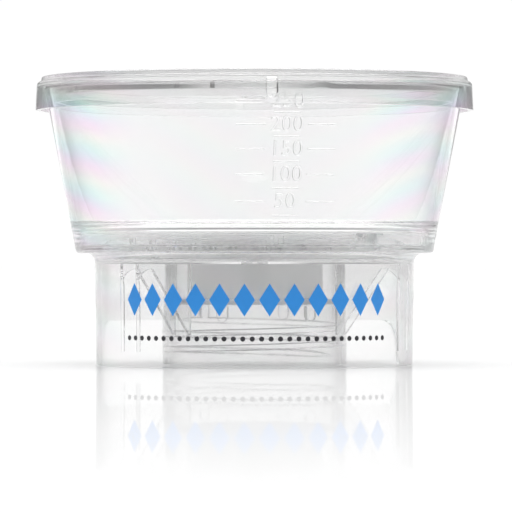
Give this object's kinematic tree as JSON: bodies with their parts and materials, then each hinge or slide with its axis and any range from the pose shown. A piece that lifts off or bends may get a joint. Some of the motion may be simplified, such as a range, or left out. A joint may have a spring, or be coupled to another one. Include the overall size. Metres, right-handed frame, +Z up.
{
  "type": "vacuum filtration unit",
  "caption": "Clear bottle-top vacuum filter: lidded 250 ml graduated funnel over a membrane, on a skirted base with a threaded neck collar and a hose port.",
  "frame": {"origin": "on the axis, in the plane that the skirt stands on", "axes": "+Z up along the axis, -Y towards the graduations, +Y along the vacuum port"},
  "size_m": [0.1154, 0.1154, 0.0757],
  "materials": {
    "lid_plastic": "clear moulded polystyrene",
    "funnel_plastic": "clear moulded polystyrene",
    "base_plastic": "clear moulded polystyrene",
    "membrane": "matt white microporous film",
    "drain_fabric": "white non-woven",
    "silicone": "translucent silicone",
    "cotton": "packed cotton"
  },
  "bodies": {
    "root": {"lid": "lid_plastic", "funnel": "funnel_plastic", "membrane": "membrane", "drain_screen": "drain_fabric", "base": "base_plastic", "bottle_gasket": "silicone", "port_plug": "cotton"}
  },
  "joints": []
}
